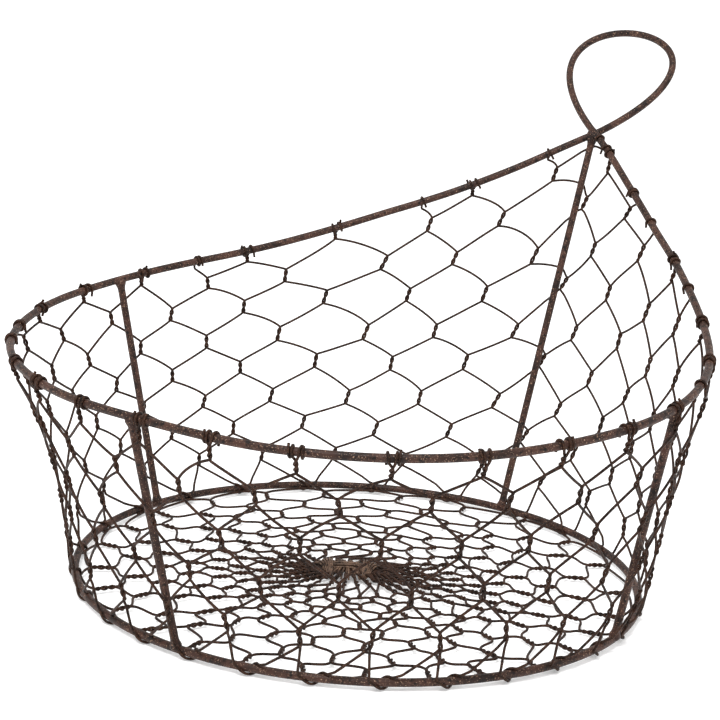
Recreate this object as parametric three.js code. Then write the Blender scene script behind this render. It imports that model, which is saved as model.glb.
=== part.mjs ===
// Egg collection basket: a round base ring, a scooped rim whose two ends cross and run on as a
// hanging loop, four straight uprights between ring and rim, and hand-twisted hexagonal netting.
// Every netting wire is its own piece: it hooks over the rim, runs down the outside of the wall,
// passes under the base ring and crosses the floor to the tie wire in the middle.
// Millimetres, +Z up, front (the low side) toward -Y, hanging loop toward +Y.
import * as THREE from "three";

// ---- driving dimensions -------------------------------------------------------------------
const RING_RADIUS = 115.5; // centreline of the base ring
const ROD_RADIUS = 1.6; // rim, loop, ring and uprights
const WIRE_HALF = 0.4; // half the side of a netting wire's square section
const WIRE_GAP = 0.3; // clearance between a wire and the rod that it wraps
const COLUMNS = 26; // netting columns round the basket, two wires in each
const TWIST_OFFSET = 0.6; // a wire's distance from the middle of its twisted pair
const WALL_TWIST = 7; // length of a twist in the wall
const FLOOR_ROWS = 9; // rows of twists between the ring and the tie wire
const HUB_RADIUS = 9.6; // where the netting wires end under the tie wire
const TIE = { length: 28, width: 18, height: 4.4 }; // tie wire wound flat over the wire ends
const TIE_TURN = 34; // its long way, turned from +X
const TIE_SHIFT = -4; // along its long way, from the middle of the ring

// ---- sizes worked out from them -----------------------------------------------------------
const HOOK_RADIUS = ROD_RADIUS + WIRE_GAP + WIRE_HALF + 0.15; // wire round a rod
const WALL_OFFSET = HOOK_RADIUS + 0.45; // wall netting outside the uprights
const RING_HEIGHT = ROD_RADIUS + WIRE_GAP + 2 * WIRE_HALF + 0.15; // ring centreline
const UNDER_HEIGHT = WIRE_HALF; // wire centreline under the ring: its flat face is at z = 0
const REST_LENGTH = 2.4; // flat stretch of each wire under the ring
const FLOOR_HEIGHT = 1.1; // wire centreline across the floor
const UPRIGHT_GAP = ROD_RADIUS + WIRE_GAP + 0.25; // upright end to the rod it is welded to

// Rim: [azimuth from the front, distance from the axis, height over the ring] in ring radii.
const RIM_STATIONS = [
  [0, 1.165, 0.778],
  [22, 1.203, 0.78],
  [45, 1.238, 0.798],
  [68, 1.22, 0.829],
  [90, 1.187, 0.86],
  [112, 1.157, 0.912],
  [124, 1.149, 0.956],
  [135, 1.157, 1.015],
  [146, 1.19, 1.089],
  [158, 1.257, 1.183],
  [169, 1.36, 1.306],
  [180, 1.5, 1.47],
];
const RIM_STEPS = 60; // straight stretches round the rim
const LOOP = { height: 55, width: 32.5, lean: 36.5, roundness: 0.94, steps: 22 };
const CROSSING_OFFSET = ROD_RADIUS + 0.2; // the rod's two strands either side of the peak plane
const CROSSING_SPREAD = 24; // degrees of rim over which they come back into line

// Netting columns, which stand closer together at the front: [column, azimuth] where they meet
// the ring and the rim.
const RING_COLUMNS = [[-2, -28.5], [1, 6.5], [4, 42.5], [7, 78], [10, 114], [12, 149], [14, 179.5],
  [16, 214], [18, 246], [21, 289]];
const RIM_COLUMNS = [[0.5, -1.8], [4, 44], [7.5, 87.4], [10, 127.2], [12, 155], [13.5, 175.8],
  [14, 179.3], [14.5, 184.3], [15.5, 197.2], [16.5, 210.5], [17, 222.3], [18, 240.3], [19.5, 263.3],
  [21.5, 292.4], [23.5, 322.5], [24.5, 333.5]];
// Rows of twists between ring and rim, more where the wall is high: [azimuth, rows].
const WALL_ROWS = [[0, 5.15], [87, 5.15], [110, 5.8], [127, 6.25], [141, 6.9], [148, 7.25], [161, 7.8],
  [168, 8.4], [174.5, 9.1], [181, 9.65], [187, 9.6], [192, 9.1], [203, 8.7], [221, 8.2], [240, 8.1],
  [263, 7.33], [292, 6.85], [307, 6.15], [322, 5.25], [345, 5.15]];
// How far the rows crowd towards the rim: [azimuth, crowding].
const WALL_CROWDING = [[60, -0.03], [135, -0.12], [160, -0.08], [180, -0.1], [203, -0.08], [222, -0.03],
  [242, 0.12], [260, 0.02], [300, 0]];
const LAST_TWIST = 0.4; // rows between the rim and the last twist below it, at least
const SINGLE_LEAN = 4.5; // degrees towards the peak, where a wire reaches the rim on its own
const PEAK_CLEARANCE = 2; // degrees from the peak to the nearest such wire
const WALL_BOW = 6.5; // how far the netting is drawn in, midway between uprights and half way up
// Uprights: [name, azimuth at the ring, azimuth at the rim].
const UPRIGHTS = [["upright_front", 0, -4], ["upright_right", 94, 88], ["upright_back", 180, 180],
  ["upright_left", -94, -91]];

// ---- materials ----------------------------------------------------------------------------
const steel = (color, roughness) => new THREE.MeshStandardMaterial({ color, roughness, metalness: 0.6 });
const rodMaterial = () => steel(0x5a4840, 0.5);
const wireMaterial = () => steel(0x4a3a33, 0.55);

// ---- helpers ------------------------------------------------------------------------------
const radians = THREE.MathUtils.degToRad;
const up = new THREE.Vector3(0, 0, 1);
const loopAxis = new THREE.Vector3(0, Math.sin(radians(LOOP.lean)), Math.cos(radians(LOOP.lean)));
const loopFace = new THREE.Vector3(0, -loopAxis.z, loopAxis.y);

// Smooth curve through [x, y] points: a cubic between each two, with the neighbours' slopes.
function smoothCurve(points) {
  const slope = (a, b) => (b[1] - a[1]) / (b[0] - a[0]);
  return (x) => {
    let i = 1;
    while (points[i + 1][0] < x) i += 1;
    const [before, start, end, after] = points.slice(i - 1, i + 3);
    const width = end[0] - start[0];
    const t = (x - start[0]) / width;
    const rest = 1 - t;
    const blend = t * t * (3 - 2 * t);
    return start[1] + (end[1] - start[1]) * blend
      + slope(before, end) * width * t * rest * rest - slope(start, after) * width * t * t * rest;
  };
}
// The same for points that repeat every `period`, each time `turn` higher.
function periodicCurve(points, period, turn) {
  const laps = [-1, 0, 1, 2];
  return smoothCurve(laps.flatMap((lap) => points.map(([x, y]) => [x + lap * period, y + lap * turn])));
}

// The rim is the same on both sides. Its half curve starts level at the front and runs straight
// on past the peak, where the two sides cross.
function halfRim(column, base) {
  const points = RIM_STATIONS.map((station) => [station[0], station[column] * RING_RADIUS + base]);
  const [near, peak] = points.slice(-2);
  const past = (steps) => [0, 1].map((k) => peak[k] + steps * (peak[k] - near[k]));
  return smoothCurve([[-points[1][0], points[1][1]], ...points, past(1), past(2)]);
}
const rimRadius = halfRim(1, 0);
const rimHeight = halfRim(2, RING_HEIGHT);
const ringAzimuth = periodicCurve(RING_COLUMNS, COLUMNS, 360);
const rimAzimuth = periodicCurve(RIM_COLUMNS, COLUMNS, 360);
const rowsAt = periodicCurve(WALL_ROWS, 360, 0);
const crowdingAt = periodicCurve(WALL_CROWDING, 360, 0);
const wrap = (azimuth) => ((azimuth % 360) + 360) % 360;
const fromFront = (azimuth) => 180 - Math.abs(180 - wrap(azimuth));

function polar(radius, azimuth, height) {
  const a = radians(azimuth);
  return new THREE.Vector3(radius * Math.sin(a), -radius * Math.cos(a), height);
}
const outward = (azimuth) => polar(1, azimuth, 0);
const ringPoint = (azimuth) => polar(RING_RADIUS, azimuth, RING_HEIGHT);
const rimPoint = (azimuth) => polar(rimRadius(fromFront(azimuth)), azimuth, rimHeight(fromFront(azimuth)));

// Where the rod itself runs: near the peak its right strand moves forward and its left one back.
function rodPoint(azimuth) {
  const share = Math.max(0, 1 - Math.abs(180 - wrap(azimuth)) / CROSSING_SPREAD);
  const side = wrap(azimuth) < 180 ? 1 : -1;
  return rimPoint(azimuth).addScaledVector(loopFace, side * share * CROSSING_OFFSET);
}

// Local directions at the rim: along it, out of the wall, and up within the wall.
function rimFrame(azimuth) {
  const peak = Math.abs(wrap(azimuth) - 180) < 1;
  const along = peak ? outward(azimuth + 90)
    : rimPoint(azimuth + 0.5).sub(rimPoint(azimuth - 0.5)).normalize();
  const down = ringPoint(azimuth).sub(rimPoint(azimuth)).normalize();
  const out = down.clone().cross(along).normalize();
  return { along, out, up: along.clone().cross(out).negate().normalize() };
}

// Closed rod or wire: a section is set square to the path at every point, turned to its normal.
// It is square to `along` instead at the points that have one.
function sweep(path, normals, section, closed, along = []) {
  const count = path.length;
  const corners = section.length;
  const positions = [];
  path.forEach((point, i) => {
    const before = path[closed ? (i + count - 1) % count : Math.max(i - 1, 0)];
    const after = path[closed ? (i + 1) % count : Math.min(i + 1, count - 1)];
    const into = point.clone().sub(before).normalize();
    const away = after.clone().sub(point).normalize();
    const tangent = along[i] ?? into.add(away).normalize();
    const normal = normals[i].clone().addScaledVector(tangent, -normals[i].dot(tangent)).normalize();
    const side = tangent.clone().cross(normal);
    for (const [a, b] of section) {
      positions.push(point.clone().addScaledVector(normal, a).addScaledVector(side, b));
    }
  });
  const faces = [];
  const rings = closed ? count : count - 1;
  for (let i = 0; i < rings; i += 1) {
    const start = i * corners;
    const next = ((i + 1) % count) * corners;
    for (let k = 0; k < corners; k += 1) {
      const m = (k + 1) % corners;
      faces.push(start + k, start + m, next + m, start + k, next + m, next + k);
    }
  }
  if (!closed) {
    const last = (count - 1) * corners;
    for (let k = 1; k < corners - 1; k += 1) {
      faces.push(0, k + 1, k, last, last + k, last + k + 1);
    }
  }
  const geometry = new THREE.BufferGeometry().setFromPoints(positions);
  geometry.setIndex(faces);
  geometry.computeVertexNormals();
  return geometry;
}

function roundSection(radius, sides) {
  return Array.from({ length: sides }, (_, k) => {
    const a = (2 * Math.PI * (k + 0.5)) / sides;
    return [radius * Math.cos(a), radius * Math.sin(a)];
  });
}
const rodSection = roundSection(ROD_RADIUS, 8);
const wireSection = [[WIRE_HALF, WIRE_HALF], [-WIRE_HALF, WIRE_HALF], [-WIRE_HALF, -WIRE_HALF],
  [WIRE_HALF, -WIRE_HALF]];

const group = new THREE.Group();
const basket = new THREE.Group();
group.add(basket);
function addPiece(name, geometry, material) {
  const mesh = new THREE.Mesh(geometry, material);
  mesh.name = name;
  basket.add(mesh);
}

// ---- base ring ----------------------------------------------------------------------------
function baseRing() {
  const steps = 52;
  const azimuths = Array.from({ length: steps }, (_, i) => (360 * i) / steps);
  return sweep(azimuths.map(ringPoint), azimuths.map(outward), rodSection, true);
}

// ---- rim and hanging loop: one closed rod -------------------------------------------------
function rimAndLoop() {
  const peak = rimPoint(180);
  const path = [];
  for (let i = 0; i <= LOOP.steps; i += 1) {
    const u = (2 * Math.PI * i) / LOOP.steps;
    const along = (LOOP.height * (1 - Math.cos(u))) / 2;
    const across = LOOP.width * Math.sin(u) * Math.sin(u / 2) ** LOOP.roundness;
    path.push(peak.clone().addScaledVector(loopAxis, along).add(new THREE.Vector3(across, 0, 0))
      .addScaledVector(loopFace, -CROSSING_OFFSET * Math.cos(u / 2)));
  }
  for (let i = 1; i < RIM_STEPS; i += 1) path.push(rodPoint(180 - (360 * i) / RIM_STEPS));
  return sweep(path, carriedNormals(path, loopFace), rodSection, true);
}

// Normals carried along a closed path without turning about it; the last turn is spread out.
function carriedNormals(path, first) {
  const count = path.length;
  const tangents = path.map((point, i) => path[(i + 1) % count].clone()
    .sub(path[(i + count - 1) % count]).normalize());
  const normals = [first.clone().addScaledVector(tangents[0], -first.dot(tangents[0])).normalize()];
  for (let i = 1; i <= count; i += 1) {
    const turn = new THREE.Quaternion().setFromUnitVectors(tangents[i - 1], tangents[i % count]);
    normals.push(normals[i - 1].clone().applyQuaternion(turn));
  }
  const last = normals.pop();
  const cosine = THREE.MathUtils.clamp(last.dot(normals[0]), -1, 1);
  const sign = Math.sign(last.clone().cross(normals[0]).dot(tangents[0])) || 1;
  const error = sign * Math.acos(cosine);
  return normals.map((normal, i) => normal.applyAxisAngle(tangents[i], (error * i) / count));
}

// ---- uprights -----------------------------------------------------------------------------
function upright(ringAngle, rimAngle) {
  const foot = ringPoint(ringAngle);
  const head = rimPoint(rimAngle);
  const axis = head.clone().sub(foot).normalize();
  const headGap = rimAngle === 180 ? 2 * UPRIGHT_GAP : UPRIGHT_GAP;
  const path = [foot.addScaledVector(axis, UPRIGHT_GAP), head.addScaledVector(axis, -headGap)];
  return sweep(path, [outward(ringAngle), outward(ringAngle)], rodSection, false);
}

// ---- netting ------------------------------------------------------------------------------
// Point on the outside of the wall: half-column, share of the way up from ring to rim, and
// distance to one side of the column.
function wallPoint(half, share, side) {
  const column = half / 2;
  const azimuth = ringAzimuth(column) + (rimAzimuth(column) - ringAzimuth(column)) * share;
  return wallAt(azimuth, share, side);
}
function wallAt(azimuth, share, side) {
  const frame = rimFrame(azimuth);
  const point = ringPoint(azimuth).lerp(rimPoint(azimuth), share);
  const across = outward(azimuth + 90);
  const out = frame.out.clone().multiplyScalar(share).addScaledVector(outward(azimuth), 1 - share).normalize();
  const bow = WALL_BOW * Math.sin(radians(2 * azimuth)) ** 2 * 4 * share * (1 - share);
  point.addScaledVector(out, WALL_OFFSET - bow).addScaledVector(across, side);
  return { point, normal: out, azimuth };
}

// Half-column that wire number `wire` is twisted in at a row, and its side of that column.
function twistPlace(wire, row) {
  const left = (((wire + row) % 2) + 2) % 2 === 0;
  return { half: left ? wire : wire + 1, side: left ? TWIST_OFFSET : -TWIST_OFFSET };
}

// Row in which a wire reaches the rim.
function lastRow(wire) {
  let row = 1;
  while (rowsAt(wrap(rimAzimuth(twistPlace(wire, row).half / 2))) - row >= LAST_TWIST) row += 1;
  return row;
}
// Where a wire hooks over the rim: at its column, or a little nearer the peak on its own.
function hookAzimuth(wire) {
  const row = lastRow(wire);
  const { half, side } = twistPlace(wire, row);
  const partner = wire - Math.sign(side);
  const azimuth = rimAzimuth(half / 2);
  if (lastRow(partner) === row) return azimuth;
  const toPeak = 180 - wrap(azimuth);
  return azimuth + Math.sign(toPeak) * Math.min(SINGLE_LEAN, Math.abs(toPeak) - PEAK_CLEARANCE);
}

// Hook over the rim, from its tip inside the basket to the outside.
function rimHook(wire) {
  const { side } = twistPlace(wire, lastRow(wire));
  const azimuth = hookAzimuth(wire);
  const frame = rimFrame(azimuth);
  const centre = rodPoint(azimuth).addScaledVector(frame.along, side);
  return [190, 135, 90, 45, 0].map((angle) => {
    const normal = frame.out.clone().multiplyScalar(Math.cos(radians(angle)))
      .addScaledVector(frame.up, Math.sin(radians(angle)));
    return { point: centre.clone().addScaledVector(normal, HOOK_RADIUS), normal, azimuth };
  });
}

function wallRun(wire) {
  const rows = [];
  for (let row = 1; row < lastRow(wire); row += 1) {
    const { half, side } = twistPlace(wire, row);
    const total = rowsAt(wrap(rimAzimuth(half / 2)));
    const azimuth = ringAzimuth(half / 2);
    const slope = rimPoint(azimuth).distanceTo(ringPoint(azimuth));
    const even = row / total;
    const share = even + crowdingAt(wrap(azimuth)) * even * (1 - even);
    const twist = WALL_TWIST / slope / 2;
    rows.push([wallPoint(half, share + twist, side), wallPoint(half, share - twist, side)]);
  }
  return [...rimHook(wire), ...rows.reverse().flat()];
}

const floorPlace = (radius, azimuth, side, height) => ({
  point: polar(radius, azimuth, height).addScaledVector(outward(azimuth + 90), side),
  normal: up.clone().negate(),
  azimuth,
});

// Round the ring from outside to underneath, where a short flat stretch rests on the ground.
function underRing(wire) {
  const { half, side } = twistPlace(wire, 0);
  const azimuth = ringAzimuth(half / 2);
  const outside = floorPlace(RING_RADIUS + HOOK_RADIUS + WIRE_GAP, azimuth, side, RING_HEIGHT);
  outside.normal = outward(azimuth);
  const feet = [REST_LENGTH / 2, -REST_LENGTH / 2].map((step) => ({
    ...floorPlace(RING_RADIUS + step, azimuth, side, UNDER_HEIGHT),
    along: outward(azimuth + 180),
  }));
  return [outside, ...feet];
}

const floorRowRadius = (row) => RING_RADIUS * (0.92 - 0.1225 * (row - 1) + 0.0045 * (row - 1) ** 2);
function floorRun(wire) {
  const run = [];
  for (let row = 1; row <= FLOOR_ROWS; row += 1) {
    const { half, side } = twistPlace(wire, row);
    const azimuth = ringAzimuth(half / 2);
    const radius = floorRowRadius(row);
    const twist = 0.22 * (radius - floorRowRadius(row + 1));
    run.push(floorPlace(radius + twist, azimuth, side, FLOOR_HEIGHT));
    run.push(floorPlace(radius - twist, azimuth, side, FLOOR_HEIGHT));
  }
  run.push(floorPlace(HUB_RADIUS, (360 * (wire + 0.5)) / (2 * COLUMNS) + 4, 0, FLOOR_HEIGHT));
  return run;
}

// A wire that passes the corner below the peak is bent round it, outside the back upright.
function bentRoundBack(run) {
  const bent = [run[0]];
  for (let i = 1; i < run.length; i += 1) {
    const a = run[i - 1];
    const b = run[i];
    const share = (180 - a.azimuth) / (b.azimuth - a.azimuth);
    const height = a.point.z + (b.point.z - a.point.z) * share;
    if (share > 0 && share < 1 && height > 2 * RING_HEIGHT) {
      const rise = (height - RING_HEIGHT) / (rimPoint(180).z - RING_HEIGHT);
      bent.push(wallAt(180, rise, 0));
    }
    bent.push(b);
  }
  return bent;
}

// One wire from its hook over the rim to the middle of the floor.
function nettingWire(wire) {
  const run = bentRoundBack([...wallRun(wire), ...underRing(wire), ...floorRun(wire)]);
  const [points, normals, along] = ["point", "normal", "along"].map((key) => run.map((place) => place[key]));
  return sweep(points, normals, wireSection, false, along);
}

// ---- tie wire: turns wound flat over the gathered wire ends, as one oval --------------------
function centreTie() {
  const steps = 8;
  const profile = Array.from({ length: steps + 1 }, (_, i) => {
    const angle = Math.PI * (i / steps - 0.5);
    return new THREE.Vector2(Math.max(0, Math.cos(angle)) ** 0.8, Math.sin(angle));
  });
  const geometry = new THREE.LatheGeometry(profile, 14);
  geometry.scale(TIE.width / 2, TIE.length / 2, TIE.height / 2);
  geometry.translate(0, TIE_SHIFT, FLOOR_HEIGHT + WIRE_HALF + WIRE_GAP + TIE.height / 2);
  return geometry.rotateZ(radians(TIE_TURN - 90));
}

addPiece("base_ring", baseRing(), rodMaterial());
addPiece("rim_and_loop", rimAndLoop(), rodMaterial());
for (const [name, ringAngle, rimAngle] of UPRIGHTS) {
  addPiece(name, upright(ringAngle, rimAngle), rodMaterial());
}
for (let wire = 1; wire <= 2 * COLUMNS; wire += 1) {
  addPiece("netting_wire_" + String(wire).padStart(2, "0"), nettingWire(wire), wireMaterial());
}
addPiece("centre_tie", centreTie(), wireMaterial());

// The origin is the middle of the whole basket's footprint, on the surface it rests on.
const middle = new THREE.Box3().setFromObject(basket).getCenter(new THREE.Vector3());
basket.position.set(-middle.x, -middle.y, 0);

export default group;
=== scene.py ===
"""Looks of the egg collection basket: rods bent and welded, netting twisted by hand, wire tie.

Lengths in the functions are millimetres from the middle of the base ring, on the ground, with the
low front toward -Y. `to_frame` turns them into the row frame's metres.
"""
import math
import random

import bpy
import numpy as np
from mathutils import Matrix, Vector


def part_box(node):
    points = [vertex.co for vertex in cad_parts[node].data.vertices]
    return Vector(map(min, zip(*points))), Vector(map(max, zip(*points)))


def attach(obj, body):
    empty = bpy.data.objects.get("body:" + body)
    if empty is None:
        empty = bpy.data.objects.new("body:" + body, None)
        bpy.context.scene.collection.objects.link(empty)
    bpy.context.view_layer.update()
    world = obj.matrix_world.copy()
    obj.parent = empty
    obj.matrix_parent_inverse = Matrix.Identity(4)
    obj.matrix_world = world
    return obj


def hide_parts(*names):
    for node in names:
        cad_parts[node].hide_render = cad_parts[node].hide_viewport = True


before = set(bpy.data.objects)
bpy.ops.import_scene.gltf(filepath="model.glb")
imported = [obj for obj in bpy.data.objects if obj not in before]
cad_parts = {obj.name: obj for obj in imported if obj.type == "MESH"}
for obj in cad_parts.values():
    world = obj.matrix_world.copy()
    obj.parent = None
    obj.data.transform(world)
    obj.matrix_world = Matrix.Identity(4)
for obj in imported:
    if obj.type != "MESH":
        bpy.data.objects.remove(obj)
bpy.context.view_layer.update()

# ---- driving dimensions, those of the CAD part ----------------------------------------------
RING_RADIUS = 115.5  # centreline of the base ring
ROD_RADIUS = 1.6
RING_HEIGHT = 2.85
COLUMNS = 26  # netting columns round the basket, two wires in each
FLOOR_ROWS = 9
WALL_OFFSET = 2.9  # wall netting outside the uprights
WALL_BOW = 6.5  # how far it is drawn in, midway between uprights and half way up
FLOOR_HEIGHT = 1.1
# Rim: (azimuth from the front, distance from the axis, height over the ring) in ring radii.
RIM_STATIONS = [
    (0, 1.165, 0.778), (22, 1.203, 0.78), (45, 1.238, 0.798), (68, 1.22, 0.829),
    (90, 1.187, 0.86), (112, 1.157, 0.912), (124, 1.149, 0.956), (135, 1.157, 1.015),
    (146, 1.19, 1.089), (158, 1.257, 1.183), (169, 1.36, 1.306), (180, 1.5, 1.47)]
LOOP_HEIGHT, LOOP_WIDTH, LOOP_LEAN, LOOP_ROUNDNESS = 55.0, 32.5, 36.5, 0.94
CROSSING_OFFSET = ROD_RADIUS + 0.05  # closer than in the CAD, which keeps a gap there
CROSSING_SPREAD = 24  # degrees of rim over which the crossed strands come back into line
# Netting columns, which stand closer together at the front: (column, azimuth) where they meet
# the ring and the rim.
RING_COLUMNS = [(-2, -28.5), (1, 6.5), (4, 42.5), (7, 78), (10, 114), (12, 149), (14, 179.5),
                (16, 214), (18, 246), (21, 289)]
RIM_COLUMNS = [(0.5, -1.8), (4, 44), (7.5, 87.4), (10, 127.2), (12, 155), (13.5, 175.8), (14, 179.3),
               (14.5, 184.3), (15.5, 197.2), (16.5, 210.5), (17, 222.3), (18, 240.3), (19.5, 263.3),
               (21.5, 292.4), (23.5, 322.5), (24.5, 333.5)]
# Rows of twists between ring and rim, and how far they crowd towards the rim, by azimuth.
WALL_ROWS = [(0, 5.15), (87, 5.15), (110, 5.8), (127, 6.25), (141, 6.9), (148, 7.25), (161, 7.8),
             (168, 8.4), (174.5, 9.1), (181, 9.65), (187, 9.6), (192, 9.1), (203, 8.7), (221, 8.2),
             (240, 8.1), (263, 7.33), (292, 6.85), (307, 6.15), (322, 5.25), (345, 5.15)]
WALL_CROWDING = [(60, -0.03), (135, -0.12), (160, -0.08), (180, -0.1), (203, -0.08), (222, -0.03),
                 (242, 0.12), (260, 0.02), (300, 0)]
LAST_TWIST = 0.4  # rows between the rim and the last twist below it, at least
SINGLE_LEAN = 4.5  # degrees towards the peak, where a wire reaches the rim on its own
PEAK_CLEARANCE = 2  # degrees from the peak to the nearest such wire
# Uprights: (name, azimuth at the ring, azimuth at the rim).
UPRIGHTS = [("upright_front", 0, -4), ("upright_right", 94, 88), ("upright_back", 180, 180),
            ("upright_left", -94, -91)]

# ---- dimensions of the looks ----------------------------------------------------------------
WIRE_RADIUS = 0.54
WIRE_STEP = 0.45  # between the sections of a wire
PAIR_RADIUS = WIRE_RADIUS * 1.12  # a wire's distance from the middle of its twisted pair
COIL_RADIUS = ROD_RADIUS + WIRE_RADIUS * 1.02  # wire wound round a rod
COIL_PITCH = WIRE_RADIUS * 2.2
COIL_START = -20  # degrees round the rod's section, up from straight out
COIL_STEPS = 24  # steps to a turn of a coil
PAIR_SPREAD = 1.15  # from a pair's middle to where each of its wires starts round the rim
WALL_TWIST = 6.8  # length of a twist in the wall
TWIST_TURNS = 1.0
TWIST_STEPS = 10  # steps to a turn of a twist
WALL_STEPS, FLOOR_STEPS = 12, 9  # steps to a stretch of wire between two twists
# By azimuth: degrees that a twist's ends lean, its length as a share of WALL_TWIST, and where a
# pair's first twist starts below the rim and how long it is.
TWIST_LEANS = [(0, 0), (120, -0.15), (150, -0.35), (182, -0.4), (200, -0.15), (270, 0)]
TWIST_LENGTHS = [(0, 0.95), (140, 1.12), (178, 1.0), (195, 0.82), (250, 0.78), (300, 0.85)]
RIM_TWIST_STARTS = [(0, 2.9), (140, 3.2), (172, 3.8), (188, 2.9), (240, 2.6), (335, 2.9)]
RIM_TWIST_LENGTHS = [(0, 4.6), (140, 5.0), (172, 6.2), (188, 2.6), (290, 2.6), (335, 4.2)]
SINGLE_DROP = 3.2  # how far below the rim's centre a wire on its own starts down the wall
RIM_OFFSET = 2.3  # netting outside the wall just below the rim
RING_SLIP = 3.7  # degrees from a column to where its wires pass the ring
FLOOR_TURNS = 1.0
FIRST_FLOOR_ROW = 0.92  # ring radii from the middle
FLOOR_ROW_STEP = 0.1225
FLOOR_ROW_CROWDING = 0.0045
FLOOR_TWIST_SHARE = 0.21  # half a floor twist, of the distance to the next row
TIE_TURN = 34  # the tie's long way, turned from +X
TIE_SHIFT = -4  # along its long way, from the middle of the ring
GATHER = 0.3  # radians, at most, that the floor's columns are drawn toward the tie's ends
HUB_TURN = 4  # degrees that the gathered middle is turned
HUB_TURNS = 2
# (radius, height) of a wire near the tie: where a long twist ends beside the tie's ends, where a
# short twist starts and ends along its sides, and the points from there in under it.
HUB_END, HUB_EDGE, HUB_SIDE = (11.5, 2.4), (16.5, 1.6), (12, 2.4)
HUB_CENTRE = [(7.5, 3.2), (4.5, 3.6), (1.5, 3.2)]
HUB_SPREAD = 0.3  # of a half column, that a wire keeps to its own side there
BESIDE_TIE = 0.55  # the tie's ends begin at this sine of the angle from its sides
TIE_WIRE = 0.42
BAND_WIRES, FAN_WIRES, SPOKE_WIRES = 8, 6, 34
ROD_UNEVENNESS = 0.006
# Swell of a rod at its welds: (height, distance from the end, reach).
FOOT_WELD, HEAD_WELD, PEAK_WELD = (0.7, 1.2, 1.6), (0.8, 1.4, 1.6), (1.5, 1.4, 2.8)
PEAK_SETBACK = 0.4  # of the back upright's head, behind the crossing
WIRE_SIDES = 7
ROD_SIDES = 20
MM = 0.001
# Seeds: a stretch of them for every half-column, and which of them each kind of draw uses.
SEEDS_PER_HALF, SEED_START = 1000, 50
RIM_DRAWS, RING_DRAWS, FLOOR_DRAWS, WALL_DRAWS = 60, 61, 77, 99
FLOOR_TWIST_DRAWS = -20

ring_low, ring_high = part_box("base_ring")
MIDDLE = np.array([(ring_low.x + ring_high.x) / 2, (ring_low.y + ring_high.y) / 2, 0.0])


def to_frame(points):
    """Millimetres from the ring's middle to metres in the row frame."""
    return np.asarray(points) * MM + MIDDLE


# ---- curves ---------------------------------------------------------------------------------
def smooth_curve(points):
    """Cubic through (x, y) points, with each point's slope that of its neighbours."""
    xs = [x for x, _ in points]

    def slope(a, b):
        return (b[1] - a[1]) / (b[0] - a[0])

    def value(x):
        i = 1
        while xs[i + 1] < x:
            i += 1
        before, start, end, after = points[i - 1:i + 3]
        width = end[0] - start[0]
        t = (x - start[0]) / width
        rest = 1 - t
        blend = t * t * (3 - 2 * t)
        return (start[1] + (end[1] - start[1]) * blend
                + slope(before, end) * width * t * rest * rest
                - slope(start, after) * width * t * t * rest)
    return value


def periodic_curve(points, period, turn):
    """The same for points that repeat every `period`, each time `turn` higher."""
    return smooth_curve([(x + lap * period, y + lap * turn)
                         for lap in (-1, 0, 1, 2) for x, y in points])


def half_rim(column, base):
    """Half the rim's outline, level at the front and running straight on past the peak."""
    points = [(station[0], station[column] * RING_RADIUS + base) for station in RIM_STATIONS]
    near, peak = points[-2:]
    past = [tuple(p + steps * (p - n) for p, n in zip(peak, near)) for steps in (1, 2)]
    return smooth_curve([(-points[1][0], points[1][1])] + points + past)


rim_radius = half_rim(1, 0)
rim_height = half_rim(2, RING_HEIGHT)
ring_azimuth = periodic_curve(RING_COLUMNS, COLUMNS, 360)
rim_azimuth = periodic_curve(RIM_COLUMNS, COLUMNS, 360)
rows_at = periodic_curve(WALL_ROWS, 360, 0)
crowding_at = periodic_curve(WALL_CROWDING, 360, 0)


def round_basket(points, azimuth):
    """Straight between (azimuth, value) points that go once round the basket."""
    azimuths, values = zip(*points)
    return np.interp(azimuth % 360, azimuths, values, period=360)


def unit(v):
    return v / np.linalg.norm(v)


def polar(radius, azimuth, height):
    a = math.radians(azimuth)
    return np.array([radius * math.sin(a), -radius * math.cos(a), height])


def outward(azimuth):
    return polar(1, azimuth, 0)


def sideways(azimuth):
    return outward(azimuth + 90)


def from_front(azimuth):
    return 180 - abs(180 - azimuth % 360)


def ring_point(azimuth):
    return polar(RING_RADIUS, azimuth, RING_HEIGHT)


def rim_point(azimuth):
    return polar(rim_radius(from_front(azimuth)), azimuth, rim_height(from_front(azimuth)))


LEAN = math.radians(LOOP_LEAN)
LOOP_AXIS = np.array([0, math.sin(LEAN), math.cos(LEAN)])
LOOP_FACE = np.array([0, -math.cos(LEAN), math.sin(LEAN)])


def rod_point(azimuth):
    """The rim rod's centreline: its two strands pass in front of and behind the peak."""
    share = max(0, 1 - abs(180 - azimuth % 360) / CROSSING_SPREAD)
    side = 1 if azimuth % 360 < 180 else -1
    return rim_point(azimuth) + LOOP_FACE * side * share * CROSSING_OFFSET


def rim_frame(azimuth):
    """Directions at the rim: along it, out of the wall, and up within the wall."""
    if abs(azimuth % 360 - 180) < 1:
        along = sideways(azimuth)
    else:
        along = unit(rim_point(azimuth + 0.5) - rim_point(azimuth - 0.5))
    down = unit(ring_point(azimuth) - rim_point(azimuth))
    out = unit(np.cross(down, along))
    return along, out, -unit(np.cross(along, out))


def wall_point(azimuth, share, offset=WALL_OFFSET):
    """A point of the wall netting's surface, and the way out of it there."""
    _, rim_out, _ = rim_frame(azimuth)
    out = unit(rim_out * share + outward(azimuth) * (1 - share))
    bow = WALL_BOW * math.sin(math.radians(2 * azimuth)) ** 2 * 4 * share * (1 - share)
    base = ring_point(azimuth) * (1 - share) + rim_point(azimuth) * share
    return base + out * (offset - bow), out


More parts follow.
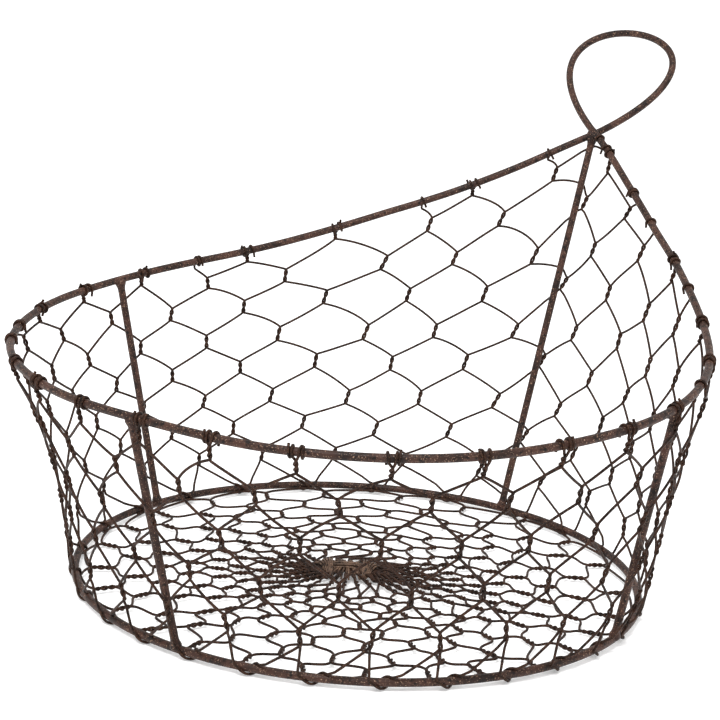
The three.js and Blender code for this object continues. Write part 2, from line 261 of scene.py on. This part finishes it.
# ---- meshes ---------------------------------------------------------------------------------
def tube_mesh(points, radii, sides, closed=False):
    """Vertices and faces of a round tube along `points`, with closed ends or in a loop."""
    points = np.asarray(points, float)
    count = len(points)
    radii = np.broadcast_to(radii, count)
    if closed:
        tangents = np.roll(points, -1, 0) - np.roll(points, 1, 0)
    else:
        tangents = np.gradient(points, axis=0)
    tangents /= np.linalg.norm(tangents, axis=1)[:, None]
    start = np.cross(tangents[0], [0.3, 0.2, 1.0])
    normal = unit(start)
    normals = []
    for tangent in tangents:
        normal = unit(normal - tangent * np.dot(normal, tangent))
        normals.append(normal)
    normals = np.array(normals)
    if closed:
        last = normals[-1]
        across = np.cross(tangents[0], normals[0])
        error = math.atan2(np.dot(last, across), np.dot(last, normals[0]))
    else:
        error = 0.0
    across = np.cross(tangents, normals)
    turn = -error * np.arange(count) / count
    angles = 2 * np.pi * np.arange(sides)[None, :] / sides + turn[:, None]
    ring = (np.cos(angles)[..., None] * normals[:, None] + np.sin(angles)[..., None] * across[:, None])
    vertices = (points[:, None] + ring * radii[:, None, None]).reshape(-1, 3)
    faces = []
    for i in range(count if closed else count - 1):
        a, b = i * sides, (i + 1) % count * sides
        for k in range(sides):
            m = (k + 1) % sides
            faces.append((a + k, a + m, b + m, b + k))
    if not closed:
        faces.append(tuple(reversed(range(sides))))
        faces.append(tuple(range((count - 1) * sides, count * sides)))
    return vertices, faces


def make_piece(name, tubes, material, nodes):
    """One object out of several tubes, riding on the root body in place of its CAD nodes."""
    vertices, faces, base = [], [], 0
    for tube_vertices, tube_faces in tubes:
        vertices.append(tube_vertices)
        faces.extend(tuple(i + base for i in face) for face in tube_faces)
        base += len(tube_vertices)
    mesh = bpy.data.meshes.new(name)
    mesh.from_pydata(to_frame(np.concatenate(vertices)).tolist(), [], faces)
    mesh.polygons.foreach_set("use_smooth", [True] * len(mesh.polygons))
    mesh.materials.append(material)
    piece = bpy.data.objects.new(name, mesh)
    bpy.context.scene.collection.objects.link(piece)
    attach(piece, "root")
    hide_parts(*nodes)


def spline(points, steps):
    """Catmull-Rom through the points, `steps` samples to a stretch."""
    points = np.asarray(points, float)
    padded = np.vstack([2 * points[0] - points[1], points, 2 * points[-1] - points[-2]])
    out = []
    for i in range(1, len(padded) - 2):
        p0, p1, p2, p3 = padded[i - 1:i + 3]
        for t in np.arange(steps) / steps:
            out.append(0.5 * (2 * p1 + (p2 - p0) * t + (2 * p0 - 5 * p1 + 4 * p2 - p3) * t * t
                              + (3 * p1 - p0 - 3 * p2 + p3) * t ** 3))
    out.append(points[-1])
    return np.array(out)


# ---- materials ------------------------------------------------------------------------------
def steel(name, base, light, dark, scale, specular):
    """Rust-brown coated steel: cloudy brown, fine pale and dark specks, slightly pitted."""
    material = bpy.data.materials.new(name)
    material.use_nodes = True
    nodes, links = material.node_tree.nodes, material.node_tree.links
    shader = nodes["Principled BSDF"]
    place = nodes.new("ShaderNodeTexCoord")

    def noise(noise_scale, detail):
        node = nodes.new("ShaderNodeTexNoise")
        node.inputs["Scale"].default_value = noise_scale
        node.inputs["Detail"].default_value = detail
        links.new(place.outputs["Object"], node.inputs["Vector"])
        return node.outputs["Fac"]

    def ramp(value, stops):
        node = nodes.new("ShaderNodeValToRGB")
        node.color_ramp.elements[0].position = stops[0][0]
        node.color_ramp.elements[0].color = (*stops[0][1], 1)
        node.color_ramp.elements[1].position = stops[1][0]
        node.color_ramp.elements[1].color = (*stops[1][1], 1)
        links.new(value, node.inputs["Fac"])
        return node.outputs["Color"]

    def mix(factor, a, b):
        node = nodes.new("ShaderNodeMix")
        node.data_type = "RGBA"
        links.new(factor, node.inputs["Factor"])
        links.new(a, node.inputs["A"])
        node.inputs["B"].default_value = (*b, 1)
        return node.outputs["Result"]

    black, white = (0, 0, 0), (1, 1, 1)
    pit = tuple(0.5 * c for c in dark)
    clouds = ramp(noise(scale, 6), [(0.36, dark), (0.62, base)])
    specks = ramp(noise(scale * 13, 3), [(0.60, black), (0.70, white)])
    pits = ramp(noise(scale * 4, 3), [(0.34, white), (0.43, black)])
    colour = mix(specks, clouds, light)
    colour = mix(pits, colour, pit)
    links.new(colour, shader.inputs["Base Color"])
    gloss = ramp(noise(scale * 3, 4), [(0.3, (0.4,) * 3), (0.75, (0.62,) * 3)])
    links.new(gloss, shader.inputs["Roughness"])
    bump = nodes.new("ShaderNodeBump")
    bump.inputs["Strength"].default_value = 0.5
    bump.inputs["Distance"].default_value = 0.0002
    links.new(noise(scale * 5, 5), bump.inputs["Height"])
    links.new(bump.outputs["Normal"], shader.inputs["Normal"])
    shader.inputs["Metallic"].default_value = 0.0
    shader.inputs["Specular IOR Level"].default_value = specular
    return material


rod_steel = steel("rod_steel", base=(0.05, 0.0215, 0.0145), light=(0.32, 0.2, 0.135),
                  dark=(0.011, 0.005, 0.0035), scale=150, specular=0.2)
netting_steel = steel("netting_steel", base=(0.034, 0.0145, 0.0085), light=(0.18, 0.1, 0.06),
                      dark=(0.009, 0.004, 0.0025), scale=260, specular=0.12)
tie_steel = steel("tie_steel", base=(0.13, 0.076, 0.05), light=(0.42, 0.28, 0.18),
                  dark=(0.016, 0.008, 0.0055), scale=260, specular=0.2)


# ---- rods -----------------------------------------------------------------------------------
def uneven(count, seed):
    """Slight unevenness of a drawn and painted rod along its length, as shares of its radius."""
    rng = np.random.default_rng(seed)
    waves = np.zeros(count)
    t = np.arange(count) / count * 2 * np.pi
    for k in range(3, 40):
        waves += rng.normal() / math.sqrt(k) * np.cos(k * t + rng.uniform(0, 2 * np.pi))
    return 1 + ROD_UNEVENNESS * waves


def base_ring():
    steps = 360
    path = np.array([ring_point(360 * i / steps) for i in range(steps)])
    make_piece("base_ring", [tube_mesh(path, ROD_RADIUS * uneven(steps, 1), ROD_SIDES, True)],
               rod_steel, ["base_ring"])


def rim_and_loop():
    peak = rim_point(180)
    path = []
    loop_steps, rim_steps = 120, 420
    for i in range(loop_steps + 1):
        u = 2 * math.pi * i / loop_steps
        along = LOOP_HEIGHT * (1 - math.cos(u)) / 2
        across = LOOP_WIDTH * math.sin(u) * math.sin(min(u, 2 * math.pi - u) / 2) ** LOOP_ROUNDNESS
        path.append(peak + LOOP_AXIS * along + np.array([across, 0, 0])
                    - LOOP_FACE * CROSSING_OFFSET * math.cos(u / 2))
    for i in range(1, rim_steps):
        path.append(rod_point(180 - 360 * i / rim_steps))
    make_piece("rim_and_loop",
               [tube_mesh(path, ROD_RADIUS * uneven(len(path), 2), ROD_SIDES, True)],
               rod_steel, ["rim_and_loop"])


def weld(along, height, middle, reach):
    """How much a weld thickens the rod, at distances `along` from its end."""
    return height * np.exp(-((along - middle) / reach) ** 2)


def upright(name, ring_angle, rim_angle):
    """A straight rod with a small weld at each end."""
    foot, head = ring_point(ring_angle), rim_point(rim_angle)
    at_peak = rim_angle == 180
    if at_peak:
        head = head - LOOP_FACE * PEAK_SETBACK
    length = np.linalg.norm(head - foot)
    steps = 120
    shares = np.linspace(0, 1, steps)
    welds = weld(shares * length, *FOOT_WELD)
    welds += weld((1 - shares) * length, *(PEAK_WELD if at_peak else HEAD_WELD))
    path = foot + (head - foot) * shares[:, None]
    radii = (ROD_RADIUS + welds) * uneven(steps, ring_angle + 500)
    make_piece(name, [tube_mesh(path, radii, ROD_SIDES)], rod_steel, [name])


# ---- netting --------------------------------------------------------------------------------
def chance(half, row):
    """The same random numbers for both wires that meet at a twist. With a wire's number and one of
    the _DRAWS in their place, the numbers are that wire's own."""
    return random.Random(SEEDS_PER_HALF * (half % (2 * COLUMNS)) + row + SEED_START)


def eased(points):
    """The same path in even steps, with its corners slightly rounded."""
    points = np.asarray(points)
    lengths = np.linalg.norm(np.diff(points, axis=0), axis=1)
    along = np.concatenate([[0], np.cumsum(lengths)])
    even = np.linspace(0, along[-1], int(along[-1] / WIRE_STEP) + 1)
    path = np.column_stack([np.interp(even, along, points[:, k]) for k in range(3)])
    for _ in range(2):
        path[1:-1] = (path[:-2] + 2 * path[1:-1] + path[2:]) / 4
    return path


def bezier(a, b, c, d, steps):
    """Points inside a cubic curve from a to d, closer together toward its ends."""
    points = []
    for i in range(1, steps):
        t = (1 - math.cos(math.pi * i / steps)) / 2
        rest = 1 - t
        points.append(a * rest ** 3 + 3 * b * rest * rest * t + 3 * c * rest * t * t + d * t ** 3)
    return points


def twist_place(wire, row):
    """The half-column where a strand is twisted in a row, and the side that it comes from."""
    left = (wire + row) % 2 == 0
    return (wire, 1) if left else (wire + 1, -1)


def twist(start, end, out, side, turns):
    """One wire's way through a twist: the two wires cross at its ends and between them."""
    axis = unit(end - start)
    across = unit(np.cross(out, axis))
    normal = np.cross(axis, across)
    steps = int(TWIST_STEPS * turns)
    path = []
    for i in range(steps + 1):
        share = i / steps
        angle = math.pi / 2 + 2 * math.pi * turns * share
        path.append(start + (end - start) * share
                    + side * PAIR_RADIUS * (across * math.cos(angle) + normal * math.sin(angle)))
    return path


def wall_twist(half, row):
    """Ends of a twist in the wall, as (point, azimuth, share of the way up), and its way out."""
    rng = chance(half, row)
    column = half / 2
    low_azimuth, high_azimuth = ring_azimuth(column), rim_azimuth(column)
    even = (row + rng.uniform(-0.07, 0.07)) / rows_at(high_azimuth % 360)
    share = even + crowding_at(low_azimuth % 360) * even * (1 - even)
    slope = np.linalg.norm(rim_point(low_azimuth) - ring_point(low_azimuth))
    factor = round_basket(TWIST_LENGTHS, high_azimuth)
    half_length = WALL_TWIST * factor * rng.uniform(0.88, 1.1) / slope / 2
    drift = rng.uniform(-0.35, 0.35)
    lean = round_basket(TWIST_LEANS, high_azimuth) + rng.uniform(-0.3, 0.3)
    ends = []
    for way in (1, -1):
        at = share + way * half_length
        azimuth = low_azimuth + (high_azimuth - low_azimuth) * at + drift + way * lean
        point, out = wall_point(azimuth, at)
        ends.append((point, azimuth, at))
    return ends[0], ends[1], out


def wall_stretch(start, end, rng):
    """A wire between two twists. One that runs down against the azimuth leaves its twist more
    sideways and bows upward; one that runs down with it is nearly straight."""
    (_, azimuth_a, share_a), (_, azimuth_b, share_b) = start, end
    a, b = np.array([azimuth_a, share_a]), np.array([azimuth_b, share_b])
    step = b - a
    bow = rng.uniform(0.0, 0.9) * share_b if step[0] < 0 else rng.uniform(-0.25, 0.1)
    early = np.array([0.3 + 0.1 * bow, 0.3 - 0.2 * bow])
    late = np.array([0.7 + 0.18 * bow, 0.7 - 0.1 * bow])
    second = a + step * (early + [rng.uniform(-0.05, 0.05), rng.uniform(-0.05, 0.05)])
    third = a + step * (late + [rng.uniform(-0.05, 0.05), rng.uniform(-0.05, 0.05)])
    sag = rng.uniform(-0.4, 0.4)
    path = []
    for azimuth, share in bezier(a, second, third, b, WALL_STEPS):
        t = (share_a - share) / (share_a - share_b)
        path.append(wall_point(azimuth, share, WALL_OFFSET + sag * 4 * t * (1 - t))[0])
    return path


def last_row(wire):
    """The row in which a strand reaches the rim."""
    row = 1
    while rows_at(rim_azimuth(twist_place(wire, row)[0] / 2) % 360) - row >= LAST_TWIST:
        row += 1
    return row


def is_pair_at_rim(wire):
    """Whether a strand's neighbour reaches the rim in the same place."""
    row = last_row(wire)
    _, side = twist_place(wire, row)
    return last_row(wire - side) == row


def hook_azimuth(wire):
    """Where a strand wraps the rim: at its column, or a little nearer the peak on its own."""
    half, _ = twist_place(wire, last_row(wire))
    azimuth = rim_azimuth(half / 2)
    if is_pair_at_rim(wire):
        return azimuth
    to_peak = 180 - azimuth % 360
    return azimuth + math.copysign(1, to_peak) * min(SINGLE_LEAN, abs(to_peak) - PEAK_CLEARANCE)


def rim_twist_drops(azimuth):
    """How far below the rim rod's centre a pair's first twist starts and ends."""
    drop = round_basket(RIM_TWIST_STARTS, azimuth)
    return drop, drop + round_basket(RIM_TWIST_LENGTHS, azimuth)


def rim_wrap(wire):
    """A strand's turns round the rim, from its cut tip to where it starts down the wall."""
    _, side = twist_place(wire, last_row(wire))
    azimuth = hook_azimuth(wire)
    pair = is_pair_at_rim(wire)
    rng = chance(wire, RIM_DRAWS)
    along, out, up = rim_frame(azimuth)
    centre = rod_point(azimuth)
    slope = np.linalg.norm(rim_point(azimuth) - ring_point(azimuth))
    turns = rng.choice((0.7, 1.25, 1.3)) if pair else rng.choice((0.7, 1.65))
    first = -side * PAIR_SPREAD * rng.uniform(0.8, 1.1) if pair else 0.0
    away = math.copysign(1, first) if pair else side
    steps = int(COIL_STEPS * turns)
    path = []
    for i in range(steps + 1):
        share = i / steps
        angle = math.radians(COIL_START) + 2 * math.pi * turns * share
        shift = first + away * share * turns * COIL_PITCH
        path.append(centre + along * shift
                    + COIL_RADIUS * (out * math.cos(angle) + up * math.sin(angle)))
    leave = unit(path[-1] - path[-2])
    # The cut tip turns up from a coil that ends on top of the rod, and down from one inside it.
    rise = 1.1 if turns % 1 < 0.5 else -1.8
    tip = path[-1] + leave * rng.uniform(0.5, 1.0) + up * rise * rng.uniform(0.3, 0.8)
    path.append(tip)
    path.reverse()
    drops = rim_twist_drops(azimuth) if pair else (SINGLE_DROP,)
    ends = []
    for drop in drops:
        at = 1 - drop / slope
        point, wall_out = wall_point(azimuth, at, RIM_OFFSET)
        ends.append((point, azimuth, at))
    if pair:
        path += twist(ends[0][0], ends[1][0], wall_out, -side, 1)
    return path, ends[-1]


def wall_strand(wire):
    """A strand from its turns round the rim to the lowest twist of the wall."""
    path, last = rim_wrap(wire)
    rng = chance(wire, WALL_DRAWS)
    for row in range(last_row(wire) - 1, 0, -1):
        half, side = twist_place(wire, row)
        upper, lower, out = wall_twist(half, row)
        path += wall_stretch(last, upper, rng)
        path += twist(upper[0], lower[0], out, side, TWIST_TURNS)
        last = lower
    return path, last


def ring_crossing(wire, last):
    """From the wall to the floor: every second strand passes outside the ring and under it
    aslant, the others over the top of it and down inside."""
    rng = chance(wire, RING_DRAWS)
    half, _ = twist_place(wire, 0)
    azimuth = ring_azimuth(half / 2) - RING_SLIP + rng.uniform(-0.5, 0.5)
    # Angles round the ring's section, degrees along the ring to the first of them and from first
    # to last, and how far the wire hangs clear below the ring.
    if wire % 2 == 1:
        angles, start, slant, spare = (28, 5, -25, -55, -90, -125, -160), -1.9, 4.2, 0.2
    else:
        angles, start, slant, spare = (70, 100, 130, 160, 190, 215), 2.4, -2.6, 0.05
    wrap = []
    for i, angle in enumerate(angles):
        at = azimuth + start + slant * i / (len(angles) - 1)
        a = math.radians(angle)
        radius = COIL_RADIUS + spare * max(0, -math.sin(a))
        direction = outward(at) * math.cos(a) + np.array([0, 0, math.sin(a)])
        wrap.append(ring_point(at) + radius * direction)
    _, last_azimuth, last_share = last
    lead = []
    for t in (0.2, 0.5, 0.8):
        at = last_azimuth + (azimuth + start - last_azimuth) * t
        point, _ = wall_point(at, last_share * (1 - t) + 0.015 * t, WALL_OFFSET - 0.6 * t)
        lead.append(point)
    return lead + wrap


def floor_radius(row):
    """Distance of a row of floor twists from the middle; the rows crowd together inward."""
    steps = row - 1
    return RING_RADIUS * (FIRST_FLOOR_ROW - FLOOR_ROW_STEP * steps + FLOOR_ROW_CROWDING * steps ** 2)


def gathered_azimuth(azimuth, radius):
    """Columns are drawn toward the ends of the tie, the more the nearer they come to it."""
    pull = GATHER * max(0.0, 1 - radius / RING_RADIUS) ** 1.5
    return azimuth + math.degrees(pull) * math.sin(math.radians(2 * (azimuth - TIE_TURN)))


def floor_twist(half, row):
    """Ends of a twist in the floor, lying toward the middle."""
    rng = chance(half, FLOOR_TWIST_DRAWS - row)
    radius = floor_radius(row) + rng.uniform(-1.7, 1.7)
    azimuth = gathered_azimuth(ring_azimuth(half / 2) + rng.uniform(-1.2, 1.2), radius)
    gap = floor_radius(row) - floor_radius(row + 1)
    length = FLOOR_TWIST_SHARE * gap * rng.uniform(0.85, 1.15)
    height = FLOOR_HEIGHT + 0.2 + rng.uniform(0, 0.9)
    lean = rng.uniform(-0.6, 0.6)
    return (polar(radius + length, azimuth + lean, height),
            polar(radius - length, azimuth - lean, height))


def hub_azimuth(half):
    """Where a half column comes in to the middle, before it is drawn toward the tie's ends."""
    return 360 * half / (2 * COLUMNS) + HUB_TURN


def hub_point(half, radius, height):
    """A point near the gathered middle of the floor, which lies a little to one side."""
    turn = math.radians(TIE_TURN)
    middle = np.array([math.cos(turn), math.sin(turn), 0]) * TIE_SHIFT
    return middle + polar(radius, gathered_azimuth(hub_azimuth(half), radius), height)


def beside_tie(half):
    """Whether the netting here comes in at an end of the tie, where it is gathered tighter."""
    return abs(math.sin(math.radians(hub_azimuth(half) - TIE_TURN))) > BESIDE_TIE


def floor_strand(wire, path):
    """A strand of the floor, from the ring to the gathered middle."""
    rng = chance(wire, FLOOR_DRAWS)
    down = np.array([0, 0, -1.0])
    last = np.asarray(path[-1])
    points = []
    way_in = np.zeros(3)
    for row in range(1, FLOOR_ROWS + 1):
        half, side = twist_place(wire, row)
        outer, inner = floor_twist(half, row)
        way = unit(inner - outer)
        gap = floor_radius(row - 1) - floor_radius(row)
        early, late = rng.uniform(0.25, 0.65) * gap, rng.uniform(0.15, 0.55) * gap
        points += bezier(last, last + way_in * early, outer - way * late, outer, FLOOR_STEPS)
        if row == FLOOR_ROWS:
            if beside_tie(half):
                inner = hub_point(half, *HUB_END)
                points += twist(outer, inner, down, side, HUB_TURNS)
            else:
                points += twist(outer, inner, down, side, FLOOR_TURNS)
                half, side = twist_place(wire, row + 1)
                edge, gathered = hub_point(half, *HUB_EDGE), hub_point(half, *HUB_SIDE)
                points += bezier(inner, inner + way * late, edge - way * early, edge, FLOOR_STEPS)
                points += twist(edge, gathered, down, side, FLOOR_TURNS)
            for radius, height in HUB_CENTRE:
                points.append(hub_point(half + HUB_SPREAD * side, radius, height))
        else:
            points += twist(outer, inner, down, side, FLOOR_TURNS)
        last, way_in = inner, way
    return points


def netting():
    for number in range(1, 2 * COLUMNS + 1):
        path, last = wall_strand(number)
        path += ring_crossing(number, last)
        path += floor_strand(number, path)
        name = "netting_wire_%02d" % number
        tube = tube_mesh(eased(path), WIRE_RADIUS, WIRE_SIDES)
        make_piece(name, [tube], netting_steel, [name])


# ---- tie wire -------------------------------------------------------------------------------
def centre_tie():
    """Wire lashed over the gathered netting: a flat band over the middle, turns fanned over
    each end of it, and ends that come out from below all round."""
    rng = random.Random(7)
    turn = math.radians(TIE_TURN)
    long_way = np.array([math.cos(turn), math.sin(turn), 0])
    across = np.array([-math.sin(turn), math.cos(turn), 0])
    up = np.array([0, 0, 1.0])
    tubes = []

    def add(points):
        """A wire through points given along the tie, across it and up."""
        path = [long_way * (x + TIE_SHIFT) + across * y + up * z for x, y, z in points]
        tubes.append(tube_mesh(spline(path, 4), TIE_WIRE, WIRE_SIDES))

    for k in range(BAND_WIRES):
        angle = 2 * math.pi * k / BAND_WIRES
        side, lift = 1.9 * math.sin(angle), 4.6 + 1.3 * math.cos(angle)
        add([(x, side * squeeze + rng.uniform(-0.1, 0.1), lift - 0.01 * x * x + rng.uniform(-0.1, 0.1))
             for x, squeeze in ((-10.5, 1.3), (-7, 1.1), (-3, 1), (2, 1), (6.5, 1.1), (10, 1.3))])
    for end in (-1, 1):
        for k in range(FAN_WIRES):
            share = k / (FAN_WIRES - 1)
            near, far = 6.3 + 2.2 * share, 6.8 + 6.4 * share
            height = 6.4 - 1.9 * share ** 2
            width = 6.6 - 1.6 * share
            wobble = rng.uniform(-0.15, 0.15)
            add([(end * far * 0.93, width + 1.0, 1.8), (end * far, width, 0.6 * height + 0.3),
                 (end * (far - 0.2), 0.5 * width, height - 0.2 + wobble),
                 (end * (near + 0.6 * (far - near)), 0, height + 0.2),
                 (end * (near + 0.25 * (far - near)), -0.5 * width, height - 0.7 + wobble),
                 (end * near, -width, 0.45 * height + 0.3), (end * near * 0.9, -width - 1.2, 1.7)])
    for k in range(SPOKE_WIRES):
        angle = 2 * math.pi * (k + rng.uniform(-0.35, 0.35)) / SPOKE_WIRES
        x, y = math.cos(angle), math.sin(angle)
        reach = 1 + rng.uniform(-0.1, 0.08)
        back = 1.0 if y > 0 else 0.0
        add([(5.0 * x, 1.0 * y, 3.7), (7.0 * x, 3.0 * y, 4.3 + back + rng.uniform(-0.3, 0.2)),
             (9.0 * x * reach, 5.8 * y * reach, 3.6 + back + rng.uniform(-0.4, 0.3)),
             (11.2 * x * reach, 8.6 * y * reach, 1.7 + rng.uniform(-0.2, 0.3))])
    make_piece("centre_tie", tubes, tie_steel, ["centre_tie"])


base_ring()
rim_and_loop()
for upright_name, ring_angle, rim_angle in UPRIGHTS:
    upright(upright_name, ring_angle, rim_angle)
netting()
centre_tie()


# ---- stage, in metres -----------------------------------------------------------------------
FLOOR_SIZE = 30
FLOOR_GAP = 0.0003  # between the floor and the basket's lowest wires
FLOOR_COLOUR = (0.92, 0.92, 0.92)
FLOOR_ROUGHNESS = 0.9
FLOOR_GLOW = 0.25
WORLD_STRENGTH = 1.05
LIGHTS_AIM = 0.08  # height that the lamps point at
CAMERA_AIM = 0.45  # ring radii over the ring that the camera points at, before its shifts


def glowing_material(name, colour, roughness, glow):
    """Plain and matt, with a little light of its own so that shadows on it stay faint."""
    material = bpy.data.materials.new(name)
    material.use_nodes = True
    shader = material.node_tree.nodes["Principled BSDF"]
    shader.inputs["Base Color"].default_value = (*colour, 1)
    shader.inputs["Roughness"].default_value = roughness
    shader.inputs["Emission Color"].default_value = (1, 1, 1, 1)
    shader.inputs["Emission Strength"].default_value = glow
    return material


def stage():
    bpy.ops.mesh.primitive_plane_add(size=FLOOR_SIZE, location=(0, 0, -FLOOR_GAP))
    floor = bpy.context.object
    floor.name = "studio_floor"
    pale = glowing_material("pale_floor", FLOOR_COLOUR, FLOOR_ROUGHNESS, FLOOR_GLOW)
    floor.data.materials.append(pale)
    world = bpy.data.worlds.new("studio")
    world.use_nodes = True
    world.node_tree.nodes["Background"].inputs["Color"].default_value = (1, 1, 1, 1)
    world.node_tree.nodes["Background"].inputs["Strength"].default_value = WORLD_STRENGTH
    bpy.context.scene.world = world


def softbox(name, target, azimuth, elevation, distance, size, power):
    """A round lamp that points at the target from that side and height."""
    a, e = math.radians(azimuth), math.radians(elevation)
    back = Vector((math.sin(a) * math.cos(e), -math.cos(a) * math.cos(e), math.sin(e)))
    data = bpy.data.lights.new(name, "AREA")
    data.shape = "DISK"
    data.size = size
    data.energy = power
    lamp = bpy.data.objects.new(name, data)
    lamp.location = target + back * distance
    lamp.rotation_mode = "QUATERNION"
    lamp.rotation_quaternion = (-back).to_track_quat("-Z", "Y")
    bpy.context.scene.collection.objects.link(lamp)


def camera(azimuth, elevation, distance, lens, sideways_shift, upward_shift, roll):
    """Looks at a point over the middle of the ring, from `distance` ring radii away."""
    a, e, r = (math.radians(v) for v in (azimuth, elevation, roll))
    forward = Vector((-math.sin(a) * math.cos(e), math.cos(a) * math.cos(e), -math.sin(e)))
    level = Vector((math.cos(a), math.sin(a), 0))
    above = level.cross(forward)
    right = level * math.cos(r) + above * math.sin(r)
    top = above * math.cos(r) - level * math.sin(r)
    radius = RING_RADIUS * MM
    middle = Vector(MIDDLE) + Vector((0, 0, RING_HEIGHT * MM + CAMERA_AIM * radius))
    target = middle + (right * sideways_shift + top * upward_shift) * radius
    data = bpy.data.cameras.new("camera")
    data.lens = lens
    data.sensor_width = 36
    data.clip_end = 50
    lens_object = bpy.data.objects.new("camera", data)
    lens_object.location = target - forward * distance * radius
    lens_object.rotation_mode = "QUATERNION"
    axes = Matrix((right, top, -forward)).transposed()
    lens_object.rotation_quaternion = axes.to_quaternion()
    bpy.context.scene.collection.objects.link(lens_object)
    bpy.context.scene.camera = lens_object


stage()
look_at = Vector(MIDDLE) + Vector((0, 0, LIGHTS_AIM))
softbox("key", look_at, azimuth=10, elevation=60, distance=1.6, size=0.7, power=18)
softbox("fill", look_at, azimuth=95, elevation=35, distance=1.8, size=1.4, power=3)
camera(azimuth=34.10, elevation=13.80, distance=6.92, lens=98.16,
       sideways_shift=-0.0175, upward_shift=0.316, roll=3.61)
bpy.context.scene.view_settings.view_transform = "Standard"
